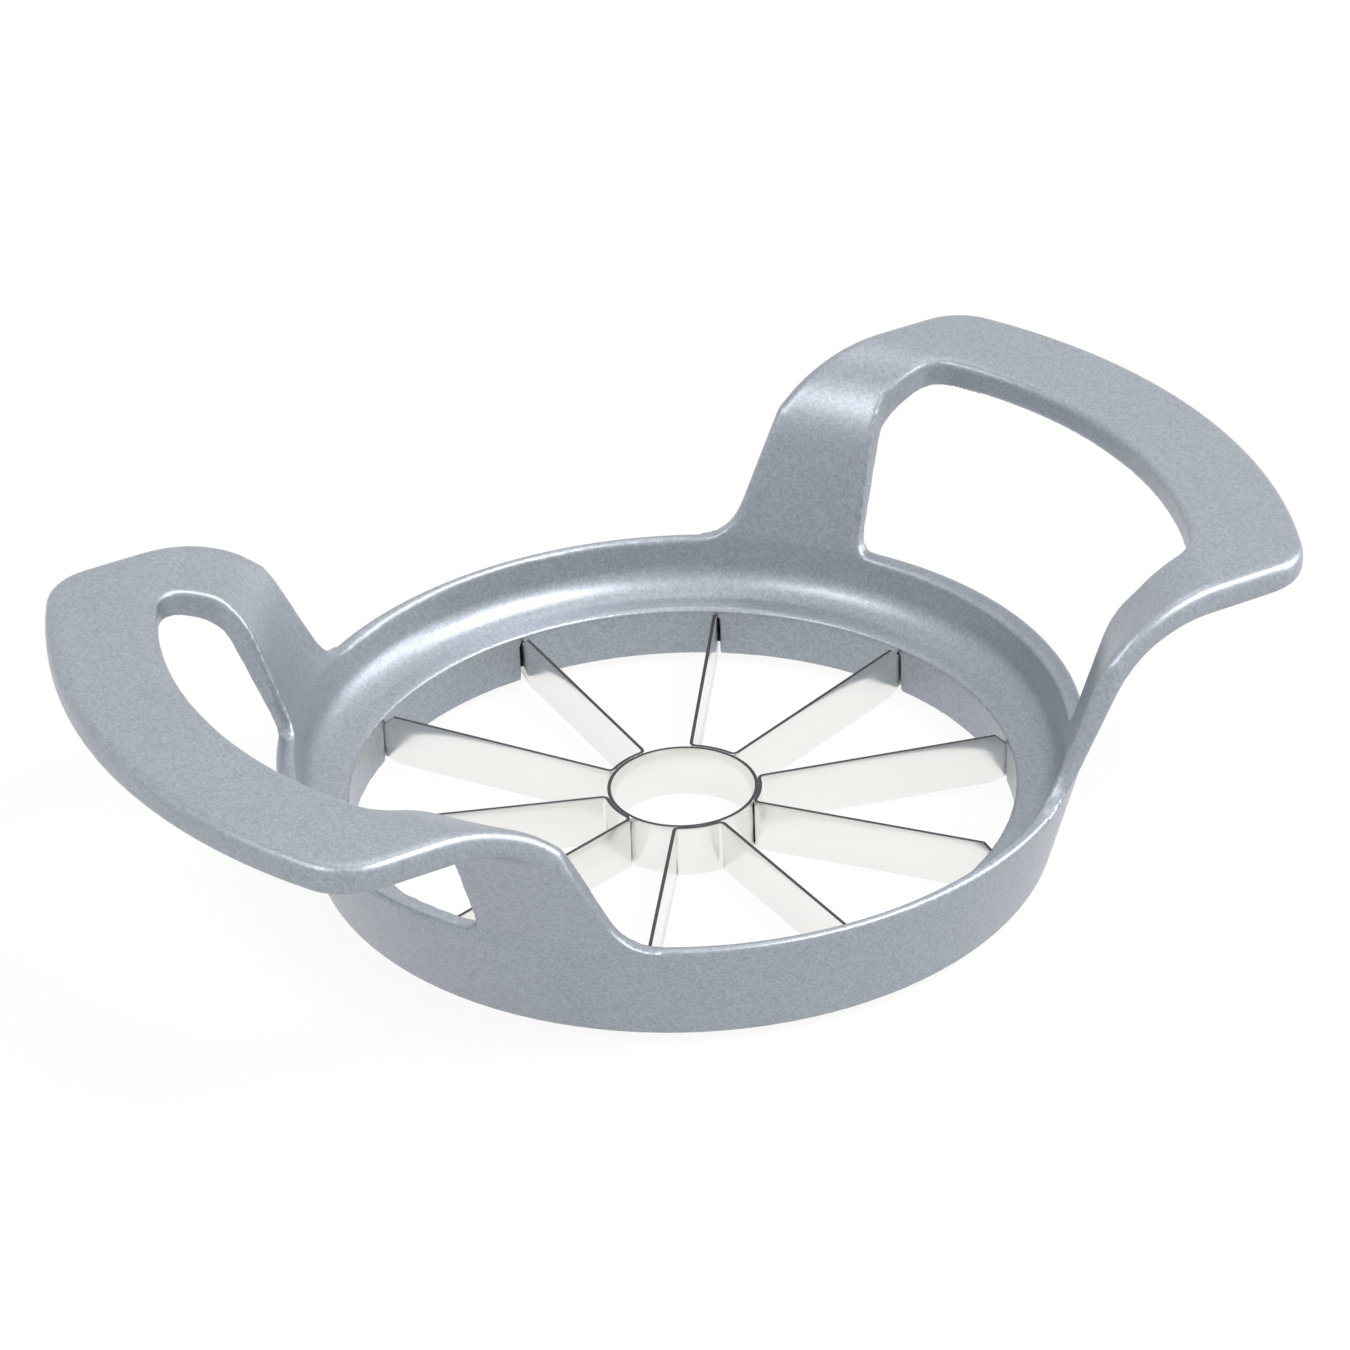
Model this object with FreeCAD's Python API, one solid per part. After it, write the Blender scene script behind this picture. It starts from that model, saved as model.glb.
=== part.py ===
import FreeCAD
import Part
import math
import os

# Apple slicer wedger press: a die-cast frame with two loop handles, a coring tube and bent blade strips.
# Z is up and the ring's axis, X runs through both handles, and the base plane is at Z = 0. Millimetres.

# Ring
well_radius = 45.0
well_wall = 1.8
well_lift = 2.0
well_edge_height = 8.6
funnel_width = 6.95
rim_width = 1.5
rim_height = 16.3
rim_oval = 1.55
skirt_lift = 1.3
skirt_lean = 3.45
skirt_wall = 1.6
rim_edge_radius = 0.6
funnel_floor_deg = 8.0
funnel_wall_deg = 80.0
funnel_cove_radius = 4.5
well_edge_radius = 0.2
channel_corner_radius = 0.4
web_thickness = 2.0

# Handles
handle_reach = 83.2
handle_half_width = 43.0
handle_corner_radius = 8.5
handle_top = 41.5
handle_thickness = 4.2
grip_edge_radius = 1.3
grip_under_radius = 0.8
upright_inner_deg = 72.8
upright_outer_deg = 68.5
upright_foot_thickness = 2.15
upright_width = 11.25
upright_bend_radius = 15.5
upright_root_depth = 4.0
flank_turn_deg = 50.0
flank_inset = 1.7
flank_lean_deg = 20.2
flank_draft_deg = 9.5
flank_draft_drop = 7.0
foot_flare_width = 4.0
foot_flare_height = 5.0

# Hand openings
grip_width = 14.2
opening_arc_radius = 62.8
opening_corner_radius = 5.0
opening_turn_deg = 31.5
opening_foot_width = 2.2
opening_foot_height = 2.5

# Blades and core tube
blade_count = 10
blade_height = 7.35
blade_rise = 1.3
blade_thickness = 0.5
blade_bend_radius = 0.5
blade_nose_cut = 1.35
blade_heel_cut = 2.0
tab_length = 4.0
core_radius = 9.75
core_wall = 0.5
weld_gap = 0.02

# Fits
slot_clearance = 0.1
slot_gap = 0.25
tab_clearance = 0.15
retainer_clearance = 0.05
retainer_inset = 0.3
retainer_height = 1.5

# Values that follow from the sizes above
rim_radius_side = well_radius + funnel_width + rim_width
rim_radius_handle = rim_radius_side + rim_oval
skirt_base_radius = rim_radius_side - skirt_lean
rim_inner_radius = rim_radius_side - rim_width
upright_root = rim_height - upright_root_depth
flank_foot_deg = math.degrees(math.asin((handle_half_width - flank_inset) / rim_inner_radius))
flank_foot_offset = rim_inner_radius * math.sin(math.radians(flank_foot_deg - flank_turn_deg))
flank_draft_height = handle_top - flank_draft_drop
opening_reach = handle_reach - grip_width
opening_half_width = handle_half_width - upright_width
skirt_slope = (rim_radius_side - skirt_base_radius) / (rim_height - skirt_lift)
strip_count = blade_count // 2
blade_step_deg = 360.0 / blade_count
well_outer_radius = well_radius + well_wall
strip_inner_radius = core_radius + core_wall + weld_gap
blade_wall_top = blade_height + blade_rise
slot_top = blade_wall_top - blade_nose_cut + slot_clearance
retainer_base = well_lift + retainer_inset
retainer_top = retainer_base + retainer_height
tab_inner_radius = well_outer_radius + tab_clearance
channel_roof = well_edge_height - web_thickness
beyond = 2.0 * handle_reach
seam_deg = 2.0 * blade_step_deg
handle_sweep_deg = 170.0

# How far a cutter runs past what it cuts
cut_margin = 1.0

# Points nearer than this are one point
same_place = 0.01


def direction(degrees):
    """Return the unit vector at an angle in the X and Y plane."""
    turn = math.radians(degrees)
    return FreeCAD.Vector(math.cos(turn), math.sin(turn), 0)


def meet(first, first_deg, second, second_deg):
    """Return where two sloped lines of a section cross, as radius and height."""
    rise_1 = math.tan(math.radians(first_deg))
    rise_2 = math.tan(math.radians(second_deg))
    radius = (second[1] - first[1] + rise_1 * first[0] - rise_2 * second[0]) / (rise_1 - rise_2)
    return radius, first[1] + rise_1 * (radius - first[0])


def rounded_wire(corners):
    """Make a closed wire in the X and Z plane from corners given as radius, height and rounding."""
    points = [FreeCAD.Vector(x, 0, z) for x, z, _ in corners]
    starts = []
    ends = []
    middles = []
    for i, corner in enumerate(corners):
        here = points[i]
        back = (points[i - 1] - here).normalize()
        ahead = (points[(i + 1) % len(points)] - here).normalize()
        half = back.getAngle(ahead) / 2.0
        run = corner[2] / math.tan(half)
        starts.append(here + back * run)
        ends.append(here + ahead * run)
        middles.append(here + (back + ahead).normalize() * (corner[2] / math.sin(half) - corner[2]))
    edges = []
    for i, corner in enumerate(corners):
        if corner[2] > 0:
            edges.append(Part.Arc(starts[i], middles[i], ends[i]).toShape())
        after = starts[(i + 1) % len(corners)]
        if (after - ends[i]).Length > same_place:
            edges.append(Part.makeLine(ends[i], after))
    return Part.Wire(Part.__sortEdges__(edges))


def revolved(corners, start_deg=seam_deg, sweep_deg=360.0):
    """Turn a section round the ring's axis."""
    face = Part.Face(rounded_wire(corners))
    face.rotate(FreeCAD.Vector(0, 0, 0), FreeCAD.Vector(0, 0, 1), start_deg)
    return face.revolve(FreeCAD.Vector(0, 0, 0), FreeCAD.Vector(0, 0, 1), sweep_deg)


def block(x_low, x_high, y_low, y_high, z_low, z_high):
    """Make a box from its limits."""
    corner = FreeCAD.Vector(x_low, y_low, z_low)
    return Part.makeBox(x_high - x_low, y_high - y_low, z_high - z_low, corner)


def upright_edges(solid):
    """Return the straight vertical edges of a prism."""
    found = []
    for edge in solid.Edges:
        box = edge.BoundBox
        if box.ZLength > same_place and box.XLength < same_place and box.YLength < same_place:
            found.append(edge)
    return found


def skirt_radius(height):
    """Return the outer radius of the round ring at a height."""
    return skirt_base_radius + (height - skirt_lift) * skirt_slope


def make_ring():
    """Make the ring: an oval skirt, a round well and a funnel between them, open as a channel below."""
    base = Part.Circle(FreeCAD.Vector(0, 0, skirt_lift), FreeCAD.Vector(0, 0, 1), skirt_base_radius)
    centre = FreeCAD.Vector(0, 0, rim_height)
    ends = [(rim_radius_handle, direction(0.0)), (rim_radius_side, direction(90.0))]
    ends.sort(key=lambda end: -end[0])
    rim = Part.Ellipse(centre + ends[0][1] * ends[0][0], centre + ends[1][1] * ends[1][0], centre)
    skirt = Part.makeLoft([Part.Wire(base.toShape()), Part.Wire(rim.toShape())], True, True)
    cove = meet((well_radius, well_edge_height), funnel_floor_deg,
                (rim_inner_radius, rim_height), funnel_wall_deg)
    funnel_top = meet(cove, funnel_wall_deg, (0.0, rim_height + cut_margin), 0.0)
    funnel = revolved([
        (well_radius / 2.0, -cut_margin, 0.0),
        (well_radius, -cut_margin, 0.0),
        (well_radius, well_edge_height, well_edge_radius),
        (cove[0], cove[1], funnel_cove_radius),
        (funnel_top[0], funnel_top[1], 0.0),
        (well_radius / 2.0, funnel_top[1], 0.0),
    ])
    core_void = Part.makeCylinder(well_radius / 2.0 + cut_margin, beyond, FreeCAD.Vector(0, 0, -cut_margin))
    channel = revolved([
        (well_outer_radius, -cut_margin, 0.0),
        (skirt_radius(-cut_margin) - skirt_wall, -cut_margin, 0.0),
        (skirt_radius(channel_roof) - skirt_wall, channel_roof, channel_corner_radius),
        (well_outer_radius, channel_roof, channel_corner_radius),
    ])
    ring = skirt.cut([funnel, core_void, channel])
    rim_edges = [edge for edge in ring.Edges if edge.BoundBox.ZMin > rim_height - same_place]
    ring = ring.makeFillet(rim_edge_radius, rim_edges)
    well = revolved([
        (well_radius, well_lift, 0.0),
        (well_outer_radius, well_lift, 0.0),
        (well_outer_radius, channel_roof, 0.0),
        (well_radius, channel_roof, 0.0),
    ])
    return ring.fuse(well)


def handle_section():
    """Return the corners of the bent band that both handles are cut from, thin at its foot."""
    under = handle_top - handle_thickness
    foot = (rim_inner_radius, rim_height)
    outer_foot = (rim_inner_radius + upright_foot_thickness, rim_height)
    top_bend = meet(foot, upright_inner_deg, (0.0, handle_top), 0.0)
    low_bend = meet(outer_foot, upright_outer_deg, (0.0, under), 0.0)
    root = meet(outer_foot, upright_outer_deg, (0.0, upright_root), 0.0)
    wall_root = meet(foot, funnel_wall_deg, (0.0, upright_root), 0.0)
    return [
        (wall_root[0] + rim_width / 4.0, upright_root, 0.0),
        (foot[0], foot[1], 0.0),
        (top_bend[0], top_bend[1], upright_bend_radius),
        (handle_reach + handle_thickness, handle_top, 0.0),
        (handle_reach + handle_thickness, under, 0.0),
        (low_bend[0], low_bend[1], upright_bend_radius - handle_thickness),
        (root[0], upright_root, 0.0),
    ]


def footed_side(turn_deg, foot, lean_deg, wide, tall):
    """Make the half space beside an upright's edge, where the edge flows into the rim with a curve.

    The edge stands square to the direction at turn_deg, starts at the distance foot beside it on the rim,
    leans back, and spreads by the distance wide over the lowest stretch tall.
    """
    def edge_at(height):
        return foot - (height - rim_height) * math.tan(math.radians(lean_deg))

    top = rim_height + tall
    low = upright_root - cut_margin
    curve = Part.BezierCurve()
    curve.setPoles([
        FreeCAD.Vector(0, edge_at(top), top),
        FreeCAD.Vector(0, foot, rim_height),
        FreeCAD.Vector(0, foot + wide, rim_height),
    ])
    corners = [
        FreeCAD.Vector(0, foot + wide, rim_height),
        FreeCAD.Vector(0, foot + wide, low),
        FreeCAD.Vector(0, beyond, low),
        FreeCAD.Vector(0, beyond, beyond),
        FreeCAD.Vector(0, edge_at(beyond), beyond),
        FreeCAD.Vector(0, edge_at(top), top),
    ]
    edges = [curve.toShape()]
    for i in range(len(corners) - 1):
        edges.append(Part.makeLine(corners[i], corners[i + 1]))
    face = Part.Face(Part.Wire(edges))
    side = face.extrude(FreeCAD.Vector(beyond, 0, 0))
    return side.rotated(FreeCAD.Vector(0, 0, 0), FreeCAD.Vector(0, 0, 1), turn_deg)


def loop_prism(reach, arc_radius, half_width, corner_radius, back):
    """Make an upright prism with the plan of a handle loop: a wide arc, two round corners, straight sides."""
    centre = FreeCAD.Vector(reach - arc_radius, 0, 0)
    inner = arc_radius - corner_radius
    rise = half_width - corner_radius
    corner = centre + FreeCAD.Vector(math.sqrt(inner ** 2 - rise ** 2), rise, 0)
    turn = math.degrees((corner - centre).getAngle(FreeCAD.Vector(1, 0, 0)))
    start = centre + direction(turn) * arc_radius
    middle = corner + direction((turn + 90.0) / 2.0) * corner_radius
    end = corner + direction(90.0) * corner_radius
    rear = FreeCAD.Vector(back, half_width, 0)

    def across(point):
        return FreeCAD.Vector(point.x, -point.y, 0)

    edges = [
        Part.Arc(across(start), centre + FreeCAD.Vector(arc_radius, 0, 0), start).toShape(),
        Part.Arc(start, middle, end).toShape(),
        Part.makeLine(end, rear),
        Part.makeLine(rear, across(rear)),
        Part.makeLine(across(rear), across(end)),
        Part.Arc(across(end), across(middle), across(start)).toShape(),
    ]
    face = Part.Face(Part.Wire(edges))
    return face.extrude(FreeCAD.Vector(0, 0, beyond))


def mirrored_pair(shape):
    """Return a shape and its mirror image across the X and Z plane."""
    return [shape, shape.mirror(FreeCAD.Vector(0, 0, 0), FreeCAD.Vector(0, 1, 0))]


def flank_draft():
    """Make the limits of a handle's two sides below its bend, where they spread a little."""
    wide = handle_half_width + flank_draft_height * math.tan(math.radians(flank_draft_deg))
    corners = [
        FreeCAD.Vector(0, -wide, 0),
        FreeCAD.Vector(0, wide, 0),
        FreeCAD.Vector(0, handle_half_width, flank_draft_height),
        FreeCAD.Vector(0, -handle_half_width, flank_draft_height),
    ]
    return Part.Face(Part.makePolygon(corners + corners[:1])).extrude(FreeCAD.Vector(beyond, 0, 0))


def hand_opening():
    """Make the cutter of one hand opening, with the edges of the uprights left standing."""
    prism = loop_prism(opening_reach, opening_arc_radius, opening_half_width, opening_corner_radius, 0.0)
    edge = footed_side(opening_turn_deg, 0.0, 0.0, -opening_foot_width, opening_foot_height)
    return prism.cut(mirrored_pair(edge))


def rounded_grip(handle, radius, height):
    """Round the outline of a handle from its edge round the grip at one height."""
    edges = [edge for edge in handle.Edges
             if edge.BoundBox.XMax > handle_reach - same_place and edge.BoundBox.ZLength < same_place
             and abs(edge.BoundBox.ZMin - height) < same_place]
    return handle.makeFillet(radius, edges)


def blade_slots():
    """Make the cutters of the slots in the well's wall, wider on the inner side of each strip."""
    slots = []
    for i in range(blade_count):
        inward = -1 if i % 2 else 1
        sides = sorted([inward * (blade_thickness / 2.0 + slot_gap),
                        -inward * (blade_thickness / 2.0 + slot_clearance)])
        slot = block(well_radius - well_wall, well_outer_radius + tab_clearance, sides[0], sides[1],
                     -cut_margin, slot_top)
        slots.append(slot.rotated(FreeCAD.Vector(0, 0, 0), FreeCAD.Vector(0, 0, 1), (i + 0.5) * blade_step_deg))
    return slots


def make_handle():
    """Make the handle on the +X side."""
    band = revolved(handle_section(), -handle_sweep_deg / 2.0, handle_sweep_deg)
    prism = loop_prism(handle_reach, handle_reach, handle_half_width, handle_corner_radius, 0.0)
    flank = footed_side(flank_turn_deg, flank_foot_offset, flank_lean_deg, foot_flare_width, foot_flare_height)
    upper = band.common(prism.common(block(0, beyond, -beyond, beyond, flank_draft_height, beyond)))
    upper = rounded_grip(upper, grip_edge_radius, handle_top)
    upper = rounded_grip(upper, grip_under_radius, handle_top - handle_thickness)
    upper = upper.cut(mirrored_pair(flank))
    lower = band.common(flank_draft()).cut(mirrored_pair(flank))
    return upper.fuse(lower).removeSplitter().cut(hand_opening())


def make_frame():
    """Make the casting: ring, widened rim and both loop handles."""
    handle = make_handle()
    other = handle.rotated(FreeCAD.Vector(0, 0, 0), FreeCAD.Vector(0, 0, 1), 180.0)
    frame = make_ring().fuse([handle, other]).removeSplitter()
    return frame.cut(blade_slots())


def make_core():
    """Make the coring tube."""
    outer = Part.makeCylinder(core_radius + core_wall, blade_height)
    return outer.cut(Part.makeCylinder(core_radius, blade_height))


def blade_climb(radius):
    """Return how far a blade's edges have risen at a radius, from the core towards the wall."""
    return blade_rise * (radius - core_radius) / (well_radius - core_radius)


def make_strip(centre_deg):
    """Make one bent strip: two radial blades, the stretch round the core and a tab at each end."""
    half = blade_step_deg / 2.0
    outer_radius = strip_inner_radius + blade_thickness
    hug = Part.makeCylinder(outer_radius, blade_wall_top)
    wedge_points = [FreeCAD.Vector(0, 0, 0), direction(-half) * beyond, direction(half) * beyond]
    wedge = Part.Face(Part.makePolygon(wedge_points + wedge_points[:1]))
    hug = hug.common(wedge.extrude(FreeCAD.Vector(0, 0, blade_wall_top)))
    pieces = []
    for sign in (1, -1):
        side = blade_thickness / 2.0
        blade = block(core_radius, tab_inner_radius + blade_thickness, -side, side, 0, blade_wall_top)
        tab_ends = sorted([-sign * side, sign * (tab_length - side)])
        tab = block(tab_inner_radius, tab_inner_radius + blade_thickness, tab_ends[0], tab_ends[1],
                    0, blade_wall_top)
        for piece in (blade, tab):
            pieces.append(piece.rotated(FreeCAD.Vector(0, 0, 0), FreeCAD.Vector(0, 0, 1), sign * half))
    strip = hug.fuse(pieces).cut(Part.makeCylinder(strip_inner_radius, blade_wall_top)).removeSplitter()
    for radius, reach in ((blade_bend_radius, outer_radius),
                          (blade_bend_radius + blade_thickness, strip_inner_radius)):
        bends = [edge for edge in upright_edges(strip)
                 if abs(math.hypot(edge.BoundBox.XMin, edge.BoundBox.YMin) - reach) < blade_thickness / 4.0
                 and abs(edge.BoundBox.YMin) > reach * math.sin(math.radians(half / 2.0))]
        strip = strip.makeFillet(radius, bends)
    nose_start = well_radius - blade_nose_cut
    heel_start = well_radius - blade_heel_cut
    above = revolved([
        (core_radius, blade_height, 0.0),
        (nose_start, blade_height + blade_climb(nose_start), 0.0),
        (well_radius, blade_wall_top - blade_nose_cut, 0.0),
        (rim_radius_handle, blade_wall_top - blade_nose_cut, 0.0),
        (rim_radius_handle, rim_height, 0.0),
        (core_radius, rim_height, 0.0),
    ])
    below = revolved([
        (core_radius, 0.0, 0.0),
        (heel_start, blade_climb(heel_start), 0.0),
        (well_radius, well_lift, 0.0),
        (well_outer_radius - tab_clearance, well_lift, 0.0),
        (well_outer_radius - tab_clearance, retainer_top + tab_clearance, 0.0),
        (rim_radius_handle, retainer_top + tab_clearance, 0.0),
        (rim_radius_handle, -cut_margin, 0.0),
        (core_radius, -cut_margin, 0.0),
    ])
    roof = revolved([
        (well_outer_radius - tab_clearance, channel_roof - tab_clearance, 0.0),
        (rim_radius_handle, channel_roof - tab_clearance, 0.0),
        (rim_radius_handle, rim_height, 0.0),
        (well_outer_radius - tab_clearance, rim_height, 0.0),
    ])
    strip = strip.cut([above, below, roof])
    return strip.rotated(FreeCAD.Vector(0, 0, 0), FreeCAD.Vector(0, 0, 1), centre_deg)


def make_retainer():
    """Make the ring pressed into the channel under the blade tabs."""
    inner = well_outer_radius + retainer_clearance
    return revolved([
        (inner, retainer_base, 0.0),
        (inner, retainer_top, 0.0),
        (skirt_radius(retainer_top) - skirt_wall - retainer_clearance, retainer_top, 0.0),
        (skirt_radius(retainer_base) - skirt_wall - retainer_clearance, retainer_base, 0.0),
    ])


def main():
    """Make every piece and write it."""
    os.makedirs("parts", exist_ok=True)
    shapes = {
        "frame_casting": make_frame(),
        "core_tube": make_core(),
        "blade_retainer": make_retainer(),
    }
    for i in range(strip_count):
        shapes["blade_strip_%d" % (i + 1)] = make_strip((2 * i + 1) * blade_step_deg)
    for name, shape in shapes.items():
        solid = shape.Solids[0] if len(shape.Solids) == 1 else shape
        box = solid.BoundBox
        print(name, "solids", len(shape.Solids), "valid", shape.isValid(), "volume", round(shape.Volume, 1),
              "size", round(box.XLength, 2), round(box.YLength, 2), round(box.ZLength, 2))
        solid.exportStep("parts/%s.step" % name)


main()
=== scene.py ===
import math

import bmesh
import bpy
from mathutils import Matrix, Vector


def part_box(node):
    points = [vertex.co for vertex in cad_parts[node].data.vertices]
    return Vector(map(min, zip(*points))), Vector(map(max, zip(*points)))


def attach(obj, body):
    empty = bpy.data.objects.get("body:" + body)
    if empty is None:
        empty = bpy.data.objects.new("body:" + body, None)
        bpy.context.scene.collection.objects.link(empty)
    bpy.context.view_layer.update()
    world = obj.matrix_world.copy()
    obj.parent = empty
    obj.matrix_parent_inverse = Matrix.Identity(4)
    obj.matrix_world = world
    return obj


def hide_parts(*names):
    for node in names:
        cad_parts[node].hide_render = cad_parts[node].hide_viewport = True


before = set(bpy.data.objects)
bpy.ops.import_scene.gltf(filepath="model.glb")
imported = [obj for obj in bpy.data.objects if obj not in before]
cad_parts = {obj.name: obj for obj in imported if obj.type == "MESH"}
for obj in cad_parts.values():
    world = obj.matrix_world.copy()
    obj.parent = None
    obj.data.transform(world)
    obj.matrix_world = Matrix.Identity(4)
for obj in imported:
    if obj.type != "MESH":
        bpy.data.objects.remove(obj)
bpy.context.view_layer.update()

bl_info = {
    "name": "Apple slicer wedger press",
    "version": (1, 0, 0),
    "blender": (4, 5, 0),
    "location": "3D View > Sidebar > Apple press",
    "description": "Dresses the packed apple slicer as a coated casting with bent steel blades",
    "category": "Object",
}

MM = 0.001
# Points of a mesh that lie closer together than this are one point
SAME_PLACE = 0.002 * MM
# Gaps between a strip's tab and the wall, and between the retaining ring and its channel
TAB_CLEARANCE = 0.15 * MM
RETAINER_CLEARANCE = 0.05 * MM
# How far the skirt leans outwards for each unit of height
SKIRT_SLOPE = 0.23
SMOOTHING = 0.5
CASTING_ROUNDS = 8
LOOP_ROUNDS = 30
LOOPS_START = 0.41
LOOPS_BLEND = 2.5 * MM
TRIANGLES_KEPT = 190000.0
FEWEST_FACES = 1000
# Steps round the core tube and the retaining ring, and in the two curves of half a strip
TUBE_STEPS = 128
RING_STEPS = 180
HUG_STEPS = 12
BEND_STEPS = 7
# Where a blade has its one middle step, as a share of the well's radius
MIDWAY = 0.6
# Roundings of the edges, and the angles that count as an edge
SHEET_EDGE = 0.05 * MM
RING_EDGE = 0.15 * MM
STRIP_ANGLE = math.radians(50.0)
TURNED_ANGLE = math.radians(40.0)
SMOOTH_ANGLE = math.radians(30.0)
# A face whose normal rises more than this is an upper edge
UPWARD = 0.6
STRIP_NODES = ["blade_strip_%d" % number for number in range(1, 6)]
# Half the angle between a strip's two blades; strips repeat every four of these
HALF_STRIP = math.radians(18.0)

# The camera that sees the press as the photograph does, in millimetres, degrees and pixels of a frame of
# 1350 by 1350
CAMERA_AZIMUTH = -28.96
CAMERA_ELEVATION = 31.0
CAMERA_ROLL = -1.94
CAMERA_DISTANCE = 746.86
CAMERA_FOCAL_PIXELS = 5500.0
CAMERA_AIM_PIXELS = (9.07, 148.81)
CAMERA_AIM_HEIGHT = 1.3
PICTURE_PIXELS = 1350.0

# Grain sizes of the finishes. The coat's real flakes are about 0.05 mm, and are drawn at the smallest size
# that shows
FLAKE_SIZE = 0.32 * MM
CLOUD_SIZE = 9.0 * MM
COAT_GRAIN = 0.45 * MM
ROLLING_GRAIN = 4.0 * MM
SHEARED_GRAIN = 1.5 * MM
MOULD_GRAIN = 0.6 * MM
RELIEF_DEPTH = 0.02 * MM

# The studio, in metres and watts: each softbox has its name, place, width and power
FLOOR_SIZE = 6.0
FLOOR_GLOW = 0.92
WORLD_COLOUR = (0.97, 0.985, 1.0, 1.0)
WORLD_STRENGTH = 0.62
WHITE = (1.0, 1.0, 1.0, 1.0)
LAMP_TARGET = (0.0, 0.0, 0.02)
SOFTBOXES = (
    ("overhead_softbox", (0.4, -0.5, 0.85), 0.5, 8.5),
    ("left_softbox", (-0.75, 0.0, 0.9), 0.35, 2.6),
    ("back_softbox", (0.28, 0.4, 1.0), 0.4, 1.0),
    ("right_softbox", (1.05, -0.45, 0.3), 0.6, 6.5),
)


def linear(code):
    """Turn an sRGB hex code into a linear colour."""
    parts = []
    for start in (1, 3, 5):
        value = int(code[start:start + 2], 16) / 255.0
        parts.append(value / 12.92 if value <= 0.04045 else ((value + 0.055) / 1.055) ** 2.4)
    return parts


def box_size(node, axis):
    """Return a CAD node's size along an axis."""
    low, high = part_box(node)
    return high[axis] - low[axis]


class PressSizes(bpy.types.PropertyGroup):
    sheet_thickness: bpy.props.FloatProperty(
        name="Sheet thickness", description="Thickness of the blade strips",
        default=0.5 * MM, unit="LENGTH", precision=5)
    blade_height: bpy.props.FloatProperty(
        name="Blade height", description="Height of the blades and of the core tube",
        default=box_size("core_tube", 2), unit="LENGTH", precision=5)
    blade_rise: bpy.props.FloatProperty(
        name="Blade rise", description="How far a blade climbs from the core tube to the wall",
        default=1.3 * MM, unit="LENGTH", precision=5)
    core_radius: bpy.props.FloatProperty(
        name="Core tube radius", description="Outer radius of the coring tube",
        default=box_size("core_tube", 0) / 2.0, unit="LENGTH", precision=5)
    well_radius: bpy.props.FloatProperty(
        name="Well radius", description="Inner radius of the well that the apple is pushed through",
        default=45.0 * MM, unit="LENGTH", precision=5)
    bend_radius: bpy.props.FloatProperty(
        name="Bend radius",
        description="Radius of a strip's bend beside the core tube, at the middle of the sheet",
        default=0.75 * MM, unit="LENGTH", precision=5)
    nose_cut: bpy.props.FloatProperty(
        name="Nose cut", description="Size of the corner cut off each blade beside the wall",
        default=1.35 * MM, unit="LENGTH", precision=5)
    heel_cut: bpy.props.FloatProperty(
        name="Heel cut", description="Length over which a blade's lower edge turns up beside the wall",
        default=2.0 * MM, unit="LENGTH", precision=5)
    wall_base: bpy.props.FloatProperty(
        name="Wall base", description="Height of the well wall's lower edge",
        default=2.0 * MM, unit="LENGTH", precision=5)
    wall_thickness: bpy.props.FloatProperty(
        name="Wall thickness", description="Thickness of the well's wall that the blades pass through",
        default=1.8 * MM, unit="LENGTH", precision=5)
    tab_length: bpy.props.FloatProperty(
        name="Tab length", description="Length of the bent tab behind the wall, from the middle of the blade",
        default=3.75 * MM, unit="LENGTH", precision=5)
    tab_base: bpy.props.FloatProperty(
        name="Tab base", description="Height of the tab's lower edge, above the retaining ring",
        default=3.95 * MM, unit="LENGTH", precision=5)
    tab_top: bpy.props.FloatProperty(
        name="Tab top", description="Height of the tab's upper edge, below the funnel",
        default=6.45 * MM, unit="LENGTH", precision=5)
    coat_cell: bpy.props.FloatProperty(
        name="Coat cell",
        description="Size of the cells that round the casting's edges as its coat does",
        default=0.3 * MM, unit="LENGTH", precision=5)


class PressColours(bpy.types.PropertyGroup):
    coat: bpy.props.FloatVectorProperty(
        name="Coat", description="Colour of the metallic coat on the casting",
        default=linear("#999FA7"), subtype="COLOR", min=0.0, max=1.0)
    steel: bpy.props.FloatVectorProperty(
        name="Blade steel", description="Colour of the polished blade steel",
        default=linear("#F1F1EE"), subtype="COLOR", min=0.0, max=1.0)
    cut_edge: bpy.props.FloatVectorProperty(
        name="Cut edge", description="Colour of the sheared upper edges of the strips and the tube",
        default=linear("#504C50"), subtype="COLOR", min=0.0, max=1.0)
    ring_plastic: bpy.props.FloatVectorProperty(
        name="Ring plastic", description="Colour of the moulded retaining ring",
        default=linear("#4A4D50"), subtype="COLOR", min=0.0, max=1.0)
    floor: bpy.props.FloatVectorProperty(
        name="Floor", description="Colour of the studio floor",
        default=linear("#F7F7F7"), subtype="COLOR", min=0.0, max=1.0)


def select_only(piece):
    """Select one object and make it active."""
    bpy.ops.object.select_all(action="DESELECT")
    piece.select_set(True)
    bpy.context.view_layer.objects.active = piece


def apply_modifier(piece, kind, **settings):
    """Add a modifier with its settings and apply it."""
    select_only(piece)
    modifier = piece.modifiers.new(kind.title(), kind)
    for name, value in settings.items():
        setattr(modifier, name, value)
    bpy.ops.object.modifier_apply(modifier=modifier.name)


def round_edges(piece, width, angle):
    """Bevel the edges that are sharper than an angle."""
    apply_modifier(piece, "BEVEL", width=width, segments=2, limit_method="ANGLE", angle_limit=angle)


def smooth_faces(piece):
    """Shade a piece smooth, except over its edges."""
    select_only(piece)
    bpy.ops.object.shade_smooth_by_angle(angle=SMOOTH_ANGLE)


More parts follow.
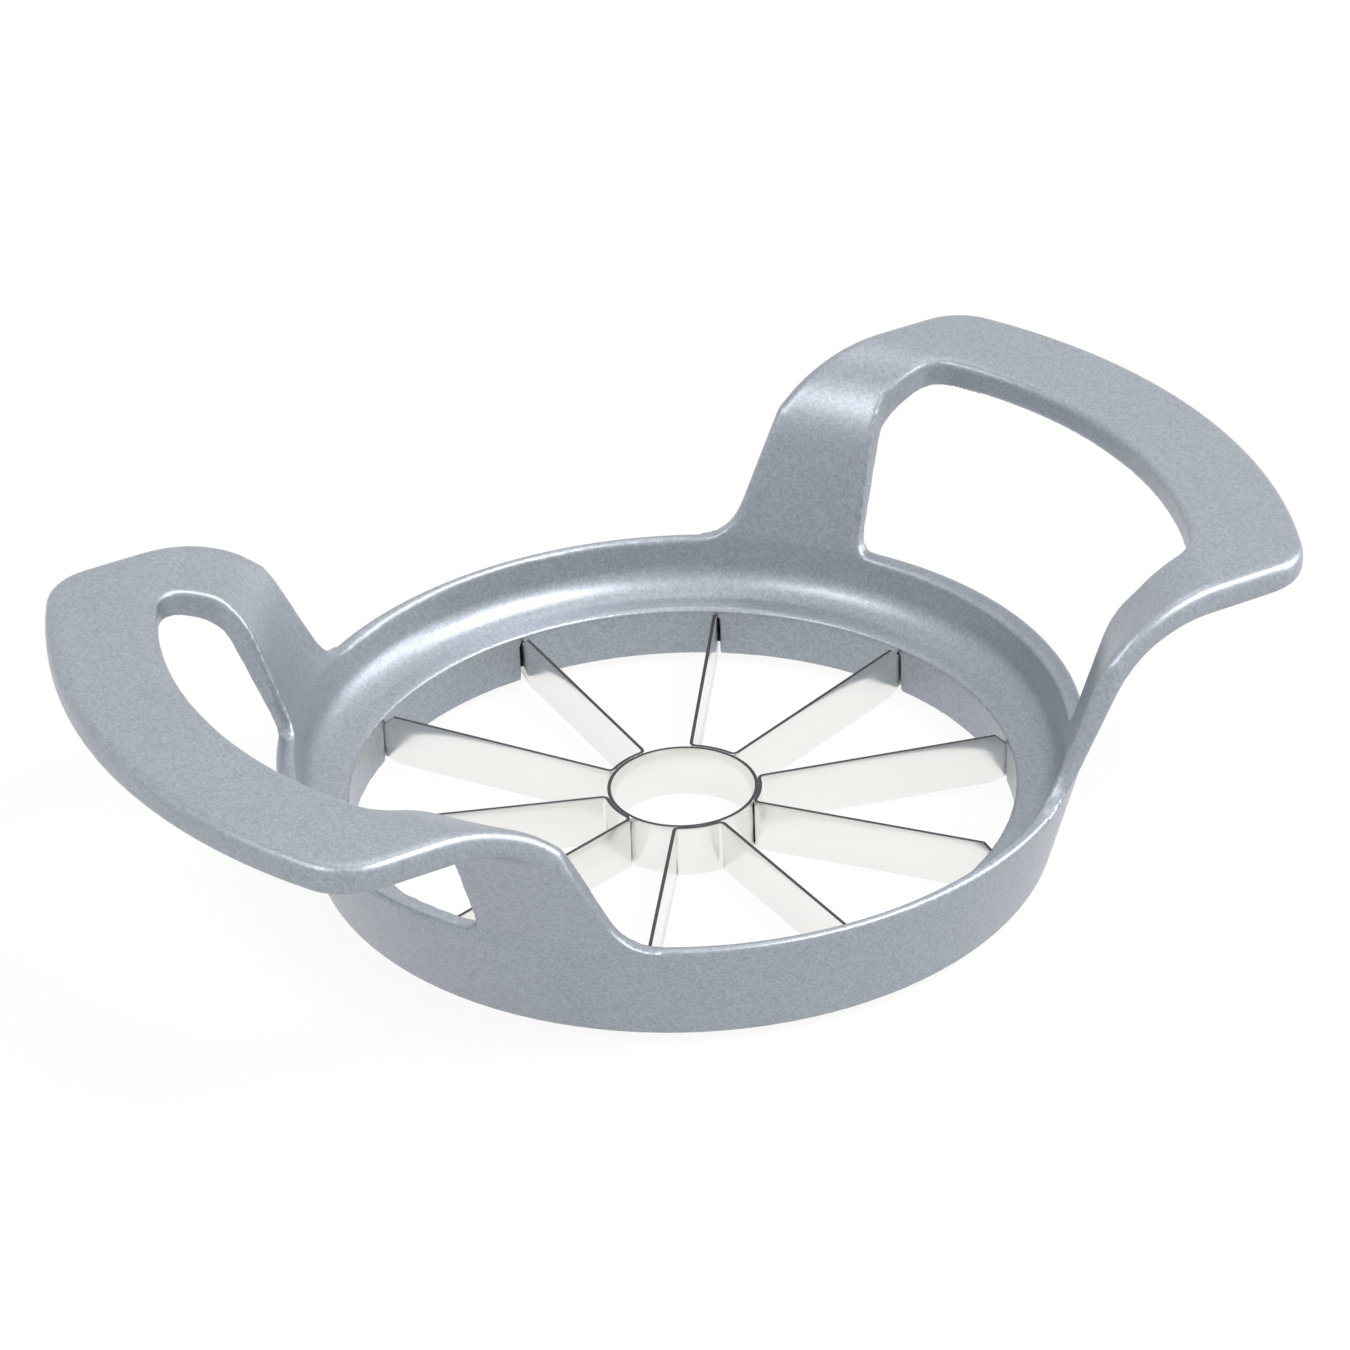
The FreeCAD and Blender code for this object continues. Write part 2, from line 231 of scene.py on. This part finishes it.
def node_copy(node, name):
    """Copy a CAD node's mesh into a new object and merge its loose triangles."""
    bpy.ops.object.select_all(action="DESELECT")
    bpy.ops.object.add(type="MESH", location=(0, 0, 0))
    piece = bpy.context.object
    piece.name = name
    piece.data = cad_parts[node].data.copy()
    piece.data.name = name
    piece.data.materials.clear()
    select_only(piece)
    bpy.ops.object.mode_set(mode="EDIT")
    bpy.ops.mesh.select_all(action="SELECT")
    bpy.ops.mesh.remove_doubles(threshold=SAME_PLACE)
    bpy.ops.object.mode_set(mode="OBJECT")
    return piece


def place_piece(piece, material, slot, *nodes):
    """Give a finished piece its material, its body and the CAD nodes it stands for."""
    piece.data.materials.clear()
    piece.data.materials.append(material)
    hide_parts(*nodes)
    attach(piece, "root")


def add_node(tree, kind, settings=(), links=()):
    """Add a shader node, set its fields and sockets, and link sockets that others feed."""
    node = tree.nodes.new(kind)
    for name, value in dict(settings).items():
        if hasattr(node, name):
            setattr(node, name, value)
        else:
            node.inputs[name].default_value = value
    for name, source in dict(links).items():
        tree.links.new(source, node.inputs[name])
    return node


def add_noise(tree, size, detail, place):
    """Add a noise with grains of a size, laid out by a coordinate socket."""
    return add_node(tree, "ShaderNodeTexNoise", {"Scale": 1.0 / size, "Detail": detail}, {"Vector": place})


def add_range(tree, source, came_from, goes_to):
    """Add a node that stretches a value from one range to another."""
    ends = {"From Min": came_from[0], "From Max": came_from[1],
            "To Min": goes_to[0], "To Max": goes_to[1]}
    return add_node(tree, "ShaderNodeMapRange", ends, {"Value": source})


def new_material(name):
    """Make a material with an empty node tree and its output."""
    material = bpy.data.materials.new(name)
    material.use_nodes = True
    material.node_tree.nodes.clear()
    output = material.node_tree.nodes.new("ShaderNodeOutputMaterial")
    return material, material.node_tree, output


def coat_material(colours):
    """Die-cast aluminium with a silver metallic powder coat: a soft satin with a fine sparkle of flakes."""
    material, tree, output = new_material("silver_metallic_powder_coat")
    place = add_node(tree, "ShaderNodeTexCoord")
    flakes = add_node(tree, "ShaderNodeTexVoronoi", {"feature": "F1", "Scale": 1.0 / FLAKE_SIZE},
                      {"Vector": place.outputs["Object"]})
    tone = add_range(tree, flakes.outputs["Color"], (0.0, 1.0), (0.84, 1.16))
    cloud = add_noise(tree, CLOUD_SIZE, 2.0, place.outputs["Object"])
    drift = add_range(tree, cloud.outputs["Fac"], (0.3, 0.7), (0.985, 1.015))
    both = add_node(tree, "ShaderNodeMath", {"operation": "MULTIPLY"})
    tree.links.new(tone.outputs["Result"], both.inputs[0])
    tree.links.new(drift.outputs["Result"], both.inputs[1])
    shade = add_node(tree, "ShaderNodeVectorMath", {"operation": "SCALE"}, {"Scale": both.outputs["Value"]})
    shade.inputs[0].default_value = colours.coat[:]
    grain = add_noise(tree, COAT_GRAIN, 3.0, place.outputs["Object"])
    relief = add_node(tree, "ShaderNodeBump", {"Strength": 0.35, "Distance": RELIEF_DEPTH},
                      {"Height": grain.outputs["Fac"]})
    shader = add_node(tree, "ShaderNodeBsdfPrincipled",
                      {"Metallic": 0.9, "Roughness": 0.42, "Coat Weight": 0.4, "Coat Roughness": 0.35},
                      {"Base Color": shade.outputs["Vector"], "Normal": relief.outputs["Normal"]})
    tree.links.new(shader.outputs["BSDF"], output.inputs["Surface"])
    return material


def steel_material(colours):
    """Rolled stainless sheet, polished: pale and mirror-like with a faint rolling grain."""
    material, tree, output = new_material("polished_stainless_sheet")
    place = add_node(tree, "ShaderNodeTexCoord")
    # The grain runs along the strip, so it is squeezed in height
    spread = add_node(tree, "ShaderNodeMapping", {"Scale": (1.0, 1.0, 14.0)},
                      {"Vector": place.outputs["Object"]})
    grain = add_noise(tree, ROLLING_GRAIN, 3.0, spread.outputs["Vector"])
    rough = add_range(tree, grain.outputs["Fac"], (0.3, 0.7), (0.16, 0.24))
    shader = add_node(tree, "ShaderNodeBsdfPrincipled",
                      {"Base Color": (*colours.steel[:], 1.0), "Metallic": 1.0},
                      {"Roughness": rough.outputs["Result"]})
    tree.links.new(shader.outputs["BSDF"], output.inputs["Surface"])
    return material


def cut_edge_material(colours):
    """Sheared edge of the strips and the tube: raw, dull and dark beside the polished faces. Made once."""
    found = bpy.data.materials.get("sheared_steel_edge")
    if found:
        return found
    material, tree, output = new_material("sheared_steel_edge")
    place = add_node(tree, "ShaderNodeTexCoord")
    grain = add_noise(tree, SHEARED_GRAIN, 2.0, place.outputs["Object"])
    rough = add_range(tree, grain.outputs["Fac"], (0.3, 0.7), (0.35, 0.5))
    shader = add_node(tree, "ShaderNodeBsdfPrincipled",
                      {"Base Color": (*colours.cut_edge[:], 1.0), "Metallic": 1.0},
                      {"Roughness": rough.outputs["Result"]})
    tree.links.new(shader.outputs["BSDF"], output.inputs["Surface"])
    return material


def plastic_material(colours):
    """Moulded polypropylene: dull, with a slight sheen from the mould."""
    material, tree, output = new_material("moulded_polypropylene")
    place = add_node(tree, "ShaderNodeTexCoord")
    grain = add_noise(tree, MOULD_GRAIN, 2.0, place.outputs["Object"])
    relief = add_node(tree, "ShaderNodeBump", {"Strength": 0.25, "Distance": RELIEF_DEPTH},
                      {"Height": grain.outputs["Fac"]})
    shader = add_node(tree, "ShaderNodeBsdfPrincipled",
                      {"Base Color": (*colours.ring_plastic[:], 1.0), "Roughness": 0.55, "IOR": 1.49},
                      {"Normal": relief.outputs["Normal"]})
    tree.links.new(shader.outputs["BSDF"], output.inputs["Surface"])
    return material


def steel():
    """Return the blade steel, made once."""
    found = bpy.data.materials.get("polished_stainless_sheet")
    return found or steel_material(bpy.context.scene.press_colours)


class PRESS_OT_casting(bpy.types.Operator):
    """Round the casting's edges as the coat does, from a merged copy of its solid"""
    bl_idname = "press.casting"
    bl_label = "Frame casting"

    def execute(self, context):
        sizes = context.scene.press_sizes
        piece = node_copy("frame_casting", "coated_casting")
        cell = sizes.coat_cell
        apply_modifier(piece, "REMESH", mode="VOXEL", voxel_size=cell, adaptivity=0.0)
        apply_modifier(piece, "SMOOTH", factor=SMOOTHING, iterations=CASTING_ROUNDS)
        loops = piece.vertex_groups.new(name="loops")
        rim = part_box("frame_casting")[1][2] * LOOPS_START
        for vertex in piece.data.vertices:
            weight = (vertex.co.z - rim) / LOOPS_BLEND
            if weight > 0.0:
                loops.add([vertex.index], min(1.0, weight), "REPLACE")
        apply_modifier(piece, "SMOOTH", factor=SMOOTHING, iterations=LOOP_ROUNDS, vertex_group="loops")
        piece.vertex_groups.remove(piece.vertex_groups["loops"])
        triangles = 2 * len(piece.data.polygons)
        apply_modifier(piece, "DECIMATE", ratio=min(1.0, TRIANGLES_KEPT / triangles))
        if len(piece.data.polygons) < FEWEST_FACES:
            raise RuntimeError("the casting's mesh came out empty")
        select_only(piece)
        bpy.ops.object.shade_smooth()
        coat = coat_material(context.scene.press_colours)
        place_piece(piece, coat, "coated_casting", "frame_casting")
        return {"FINISHED"}


def half_strip_path(sizes):
    """Return the plan of half a strip: round the core tube, out along a blade, then the tab's end."""
    hug = sizes.core_radius + sizes.sheet_thickness / 2.0
    bend = sizes.bend_radius
    lead = math.asin(bend / (hug + bend))
    turn = HALF_STRIP - lead
    path = []
    for i in range(HUG_STEPS + 1):
        angle = turn * i / HUG_STEPS
        path.append(Vector((math.cos(angle), math.sin(angle), 0.0)) * hug)
    centre = Vector((math.cos(turn), math.sin(turn), 0.0)) * (hug + bend)
    start = turn + math.pi
    end = HALF_STRIP + math.pi / 2.0
    for i in range(1, BEND_STEPS + 1):
        angle = start + (end - start) * i / BEND_STEPS
        path.append(centre + Vector((math.cos(angle), math.sin(angle), 0.0)) * bend)
    out = Vector((math.cos(HALF_STRIP), math.sin(HALF_STRIP), 0.0))
    side = Vector((-out.y, out.x, 0.0))
    behind = sizes.well_radius + sizes.wall_thickness
    for reach in (sizes.well_radius * MIDWAY, sizes.well_radius - 2.0 * sizes.nose_cut,
                  behind - TAB_CLEARANCE, behind + TAB_CLEARANCE + sizes.sheet_thickness / 2.0):
        path.append(out * reach)
    path.append(path[-1] + side * sizes.tab_length)
    return path


def select_faces(piece, wanted):
    """In edit mode, select only the faces whose centre passes a test."""
    mesh = bmesh.from_edit_mesh(piece.data)
    for face in mesh.faces:
        face.select_set(wanted(face.calc_center_median()))
    mesh.select_flush(False)
    bmesh.update_edit_mesh(piece.data)


def cut_level(height):
    """In edit mode, cut the whole sheet at a height."""
    bpy.ops.mesh.select_all(action="SELECT")
    bpy.ops.mesh.bisect(plane_co=(0.0, 0.0, height), plane_no=(0.0, 0.0, 1.0), threshold=SAME_PLACE)


def trim(piece, wanted, inner, outer, keep_below):
    """In edit mode, cut the chosen faces along a line, given by two points of radius and height, and keep
    what is below it or above it."""
    out = Vector((math.cos(HALF_STRIP), math.sin(HALF_STRIP), 0.0))
    start = out * inner[0] + Vector((0.0, 0.0, inner[1]))
    square = (out * (inner[1] - outer[1]) + Vector((0.0, 0.0, outer[0] - inner[0]))).normalized()
    select_faces(piece, wanted)
    bpy.ops.mesh.bisect(plane_co=start, plane_no=square, threshold=SAME_PLACE)
    select_faces(piece, lambda centre: wanted(centre)
                 and ((centre - start).dot(square) > 0.0) == keep_below)
    bpy.ops.mesh.delete(type="FACE")


def trim_edges(piece, sizes):
    """Trim a half strip's sheet to its rising edges, its nose under the funnel, its heel and its tab."""
    slope = sizes.blade_rise / (sizes.well_radius - sizes.core_radius + sizes.sheet_thickness)
    start = sizes.core_radius - sizes.sheet_thickness
    nose = sizes.well_radius - sizes.nose_cut
    heel = sizes.well_radius - sizes.heel_cut
    top = sizes.blade_height + sizes.blade_rise
    upper = (nose, sizes.blade_height + (nose - start) * slope)
    lower = (heel, (heel - start) * slope)
    inside = sizes.well_radius + sizes.wall_thickness - TAB_CLEARANCE
    middle = sizes.well_radius / 2.0
    trim(piece, lambda centre: True, (start, sizes.blade_height), upper, True)
    trim(piece, lambda centre: True, (start, 0.0), lower, False)
    trim(piece, lambda centre: centre.z > sizes.tab_top and centre.length > middle,
         upper, (sizes.well_radius, top - sizes.nose_cut), True)
    trim(piece, lambda centre: centre.z < sizes.tab_base and centre.length > middle,
         lower, (sizes.well_radius, sizes.wall_base), False)
    select_faces(piece, lambda centre: centre.z < sizes.tab_base and centre.xy.length > inside)
    bpy.ops.mesh.delete(type="FACE")


def make_half_strip(sizes):
    """Draw half a strip as a thin sheet on edge, extruded along its plan, and trim its edges."""
    path = half_strip_path(sizes)
    tall = sizes.blade_height + sizes.blade_rise
    bpy.ops.object.select_all(action="DESELECT")
    bpy.ops.mesh.primitive_plane_add(size=tall, location=(0.0, 0.0, tall / 2.0),
                                     rotation=(0.0, math.pi / 2.0, 0.0))
    piece = bpy.context.object
    bpy.ops.object.transform_apply(location=True, rotation=True, scale=True)
    bpy.ops.object.mode_set(mode="EDIT")
    bpy.ops.mesh.select_mode(type="EDGE")
    bpy.ops.mesh.select_all(action="DESELECT")
    mesh = bmesh.from_edit_mesh(piece.data)
    near = [edge for edge in mesh.edges if all(vertex.co.y < 0.0 for vertex in edge.verts)]
    bmesh.ops.delete(mesh, geom=list(mesh.faces), context="FACES_ONLY")
    others = [vertex for vertex in mesh.verts if vertex not in near[0].verts]
    bmesh.ops.delete(mesh, geom=others, context="VERTS")
    for vertex in mesh.verts:
        vertex.co.x, vertex.co.y = path[0].x, path[0].y
    for edge in mesh.edges:
        edge.select_set(True)
    bmesh.update_edit_mesh(piece.data)
    for before, after in zip(path, path[1:]):
        bpy.ops.mesh.extrude_edges_move(TRANSFORM_OT_translate={"value": after - before})
    cut_level(sizes.tab_base)
    cut_level(sizes.tab_top)
    bpy.ops.mesh.select_mode(type="FACE")
    trim_edges(piece, sizes)
    bpy.ops.object.mode_set(mode="OBJECT")
    return piece


def darken_upper_edges(piece, lowest):
    """Give the sheared upper edges their own dull finish."""
    piece.data.materials.append(cut_edge_material(bpy.context.scene.press_colours))
    for face in piece.data.polygons:
        if face.normal.z > UPWARD and face.center.z > lowest:
            face.material_index = 1


class PRESS_OT_blades(bpy.types.Operator):
    """Bend one blade strip, mirror it and copy it round the core tube"""
    bl_idname = "press.blades"
    bl_label = "Blade strips"

    def execute(self, context):
        sizes = context.scene.press_sizes
        first = make_half_strip(sizes)
        apply_modifier(first, "MIRROR", use_axis=(False, True, False), merge_threshold=0.01 * MM)
        apply_modifier(first, "SOLIDIFY", thickness=sizes.sheet_thickness, offset=0.0,
                       use_even_offset=True)
        round_edges(first, SHEET_EDGE, STRIP_ANGLE)
        if not first.data.polygons:
            raise RuntimeError("the blade strip came out empty")
        for number, node in enumerate(STRIP_NODES):
            select_only(first)
            bpy.ops.object.duplicate(linked=False)
            piece = context.object
            piece.name = "polished_" + node
            bpy.ops.transform.rotate(value=HALF_STRIP * (2 + 4 * number), orient_axis="Z",
                                     center_override=(0.0, 0.0, 0.0))
            bpy.ops.object.transform_apply(location=True, rotation=True, scale=True)
            place_piece(piece, steel(), "blade_steel", node)
            darken_upper_edges(piece, sizes.tab_top)
            smooth_faces(piece)
        bpy.data.objects.remove(first)
        return {"FINISHED"}


class PRESS_OT_core(bpy.types.Operator):
    """Roll the coring tube"""
    bl_idname = "press.core"
    bl_label = "Core tube"

    def execute(self, context):
        sizes = context.scene.press_sizes
        bpy.ops.object.select_all(action="DESELECT")
        bpy.ops.mesh.primitive_cylinder_add(
            vertices=TUBE_STEPS, radius=sizes.core_radius, depth=sizes.blade_height,
            end_fill_type="NOTHING", location=(0, 0, sizes.blade_height / 2.0))
        piece = context.object
        piece.name = "polished_core_tube"
        bpy.ops.object.transform_apply(location=True, rotation=True, scale=True)
        apply_modifier(piece, "SOLIDIFY", thickness=sizes.sheet_thickness, offset=-1.0)
        round_edges(piece, SHEET_EDGE, TURNED_ANGLE)
        place_piece(piece, steel(), "blade_steel", "core_tube")
        darken_upper_edges(piece, sizes.blade_height / 2.0)
        smooth_faces(piece)
        return {"FINISHED"}


class PRESS_OT_retainer(bpy.types.Operator):
    """Spin the ring that is pressed into the channel under the blade tabs"""
    bl_idname = "press.retainer"
    bl_label = "Retaining ring"

    def execute(self, context):
        low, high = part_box("blade_retainer")
        sizes = context.scene.press_sizes
        inner = sizes.well_radius + sizes.wall_thickness
        middle = Vector(((inner + high.x) / 2.0, 0.0, (low.z + high.z) / 2.0))
        bpy.ops.object.select_all(action="DESELECT")
        bpy.ops.mesh.primitive_plane_add(size=1.0, location=middle, rotation=(math.pi / 2.0, 0.0, 0.0))
        piece = context.object
        piece.name = "moulded_retaining_ring"
        piece.scale = (high.x - inner - 2.0 * RETAINER_CLEARANCE, high.z - low.z, 1.0)
        bpy.ops.object.transform_apply(location=True, rotation=True, scale=True)
        bpy.ops.object.mode_set(mode="EDIT")
        mesh = bmesh.from_edit_mesh(piece.data)
        for vertex in mesh.verts:
            if vertex.co.z < middle.z and vertex.co.x > middle.x:
                vertex.co.x -= (high.z - low.z) * SKIRT_SLOPE
        bmesh.update_edit_mesh(piece.data)
        bpy.ops.mesh.select_all(action="SELECT")
        bpy.ops.mesh.spin(steps=RING_STEPS, angle=2.0 * math.pi, center=(0.0, 0.0, 0.0),
                          axis=(0.0, 0.0, 1.0))
        bpy.ops.mesh.select_all(action="SELECT")
        bpy.ops.mesh.remove_doubles(threshold=SAME_PLACE)
        bpy.ops.mesh.normals_make_consistent(inside=False)
        bpy.ops.object.mode_set(mode="OBJECT")
        round_edges(piece, RING_EDGE, TURNED_ANGLE)
        smooth_faces(piece)
        plastic = plastic_material(context.scene.press_colours)
        place_piece(piece, plastic, "retainer_plastic", "blade_retainer")
        return {"FINISHED"}


def backdrop_material(colours):
    """Seamless white paper that keeps the object's shadow and stays white to the camera and in metal."""
    material, tree, output = new_material("white_paper")
    paper = add_node(tree, "ShaderNodeBsdfDiffuse", {"Color": (*colours.floor[:], 1.0)})
    glow = add_node(tree, "ShaderNodeEmission", {"Color": WHITE, "Strength": 1.0})
    rays = add_node(tree, "ShaderNodeLightPath")
    seen = add_node(tree, "ShaderNodeMath", {"operation": "MAXIMUM"})
    tree.links.new(rays.outputs["Is Camera Ray"], seen.inputs[0])
    tree.links.new(rays.outputs["Is Glossy Ray"], seen.inputs[1])
    share = add_node(tree, "ShaderNodeMath", {"operation": "MULTIPLY"})
    share.inputs[1].default_value = FLOOR_GLOW
    tree.links.new(seen.outputs["Value"], share.inputs[0])
    mix = add_node(tree, "ShaderNodeMixShader", {}, {"Fac": share.outputs["Value"]})
    tree.links.new(paper.outputs["BSDF"], mix.inputs[1])
    tree.links.new(glow.outputs["Emission"], mix.inputs[2])
    tree.links.new(mix.outputs["Shader"], output.inputs["Surface"])
    return material


def light_world():
    """Light the studio evenly and show it white to the camera, in metal and through glass."""
    world = bpy.data.worlds.new("studio")
    bpy.context.scene.world = world
    world.use_nodes = True
    tree = world.node_tree
    tree.nodes.clear()
    output = tree.nodes.new("ShaderNodeOutputWorld")
    rays = add_node(tree, "ShaderNodeLightPath")
    direct = add_node(tree, "ShaderNodeMath", {"operation": "MAXIMUM"})
    tree.links.new(rays.outputs["Is Camera Ray"], direct.inputs[0])
    tree.links.new(rays.outputs["Is Transmission Ray"], direct.inputs[1])
    dim = add_node(tree, "ShaderNodeBackground", {"Color": WORLD_COLOUR, "Strength": WORLD_STRENGTH})
    white = add_node(tree, "ShaderNodeBackground", {"Color": WHITE, "Strength": 1.0})
    seen = add_node(tree, "ShaderNodeMath", {"operation": "MAXIMUM"}, {0: direct.outputs["Value"]})
    tree.links.new(rays.outputs["Is Glossy Ray"], seen.inputs[1])
    mix = add_node(tree, "ShaderNodeMixShader", {}, {"Fac": seen.outputs["Value"]})
    tree.links.new(dim.outputs["Background"], mix.inputs[1])
    tree.links.new(white.outputs["Background"], mix.inputs[2])
    tree.links.new(mix.outputs["Shader"], output.inputs["Surface"])


def add_softbox(name, place, width, power):
    """Hang a square softbox and aim it at the press."""
    lamp = bpy.data.lights.new(name, "AREA")
    lamp.shape = "SQUARE"
    lamp.size = width
    lamp.energy = power
    box = bpy.data.objects.new(name, lamp)
    bpy.context.scene.collection.objects.link(box)
    box.location = place
    box.rotation_euler = (Vector(LAMP_TARGET) - Vector(place)).to_track_quat("-Z", "Y").to_euler()


def aim_camera():
    """Set the camera where the photograph's was."""
    azimuth = math.radians(CAMERA_AZIMUTH)
    elevation = math.radians(CAMERA_ELEVATION)
    roll = math.radians(CAMERA_ROLL)
    back = Vector((math.sin(azimuth) * math.cos(elevation),
                   -math.cos(azimuth) * math.cos(elevation),
                   math.sin(elevation)))
    level = Vector((math.cos(azimuth), math.sin(azimuth), 0.0))
    rise = back.cross(level)
    across = math.cos(roll) * level + math.sin(roll) * rise
    upward = math.cos(roll) * rise - math.sin(roll) * level
    per_pixel = CAMERA_DISTANCE / CAMERA_FOCAL_PIXELS
    spot = (CAMERA_DISTANCE * back - CAMERA_AIM_PIXELS[0] * per_pixel * across
            + CAMERA_AIM_PIXELS[1] * per_pixel * upward + Vector((0.0, 0.0, CAMERA_AIM_HEIGHT)))
    lens = bpy.data.cameras.new("photo_camera")
    lens.sensor_width = 36.0
    lens.lens = CAMERA_FOCAL_PIXELS / PICTURE_PIXELS * lens.sensor_width
    lens.clip_start = 0.05
    lens.clip_end = 20.0
    camera = bpy.data.objects.new("photo_camera", lens)
    bpy.context.scene.collection.objects.link(camera)
    turn = Matrix((across, upward, back)).transposed().to_4x4()
    camera.matrix_world = Matrix.Translation(spot * MM) @ turn
    bpy.context.scene.camera = camera


class PRESS_OT_studio(bpy.types.Operator):
    """Set up the floor, the lights and the camera"""
    bl_idname = "press.studio"
    bl_label = "Studio"

    def execute(self, context):
        bpy.ops.object.select_all(action="DESELECT")
        bpy.ops.mesh.primitive_plane_add(size=FLOOR_SIZE, location=(0, 0, 0))
        floor = context.object
        floor.name = "studio_floor"
        floor.data.materials.append(backdrop_material(context.scene.press_colours))
        light_world()
        for name, place, width, power in SOFTBOXES:
            add_softbox(name, place, width, power)
        aim_camera()
        context.scene.view_settings.view_transform = "Standard"
        return {"FINISHED"}


class PRESS_PT_pieces(bpy.types.Panel):
    """Lists the press's pieces and sizes"""
    bl_idname = "PRESS_PT_pieces"
    bl_label = "Apple press"
    bl_space_type = "VIEW_3D"
    bl_region_type = "UI"
    bl_category = "Apple press"

    def draw(self, context):
        layout = self.layout
        for group in (context.scene.press_sizes, context.scene.press_colours):
            for name in group.bl_rna.properties.keys():
                if name not in ("rna_type", "name"):
                    layout.prop(group, name)
        for operator in OPERATORS:
            layout.operator(operator.bl_idname)


OPERATORS = (PRESS_OT_casting, PRESS_OT_blades, PRESS_OT_core, PRESS_OT_retainer, PRESS_OT_studio)
CLASSES = (PressSizes, PressColours, *OPERATORS, PRESS_PT_pieces)


def register():
    """Register the classes, and the sizes and colours of a scene."""
    for item in CLASSES:
        bpy.utils.register_class(item)
    bpy.types.Scene.press_sizes = bpy.props.PointerProperty(type=PressSizes)
    bpy.types.Scene.press_colours = bpy.props.PointerProperty(type=PressColours)


def unregister():
    """Remove the sizes and colours, and the classes."""
    del bpy.types.Scene.press_colours
    del bpy.types.Scene.press_sizes
    for item in reversed(CLASSES):
        bpy.utils.unregister_class(item)


def main():
    """Build every piece and the studio."""
    register()
    bpy.ops.press.casting()
    bpy.ops.press.blades()
    bpy.ops.press.core()
    bpy.ops.press.retainer()
    bpy.ops.press.studio()


if __name__ == "__main__":
    main()
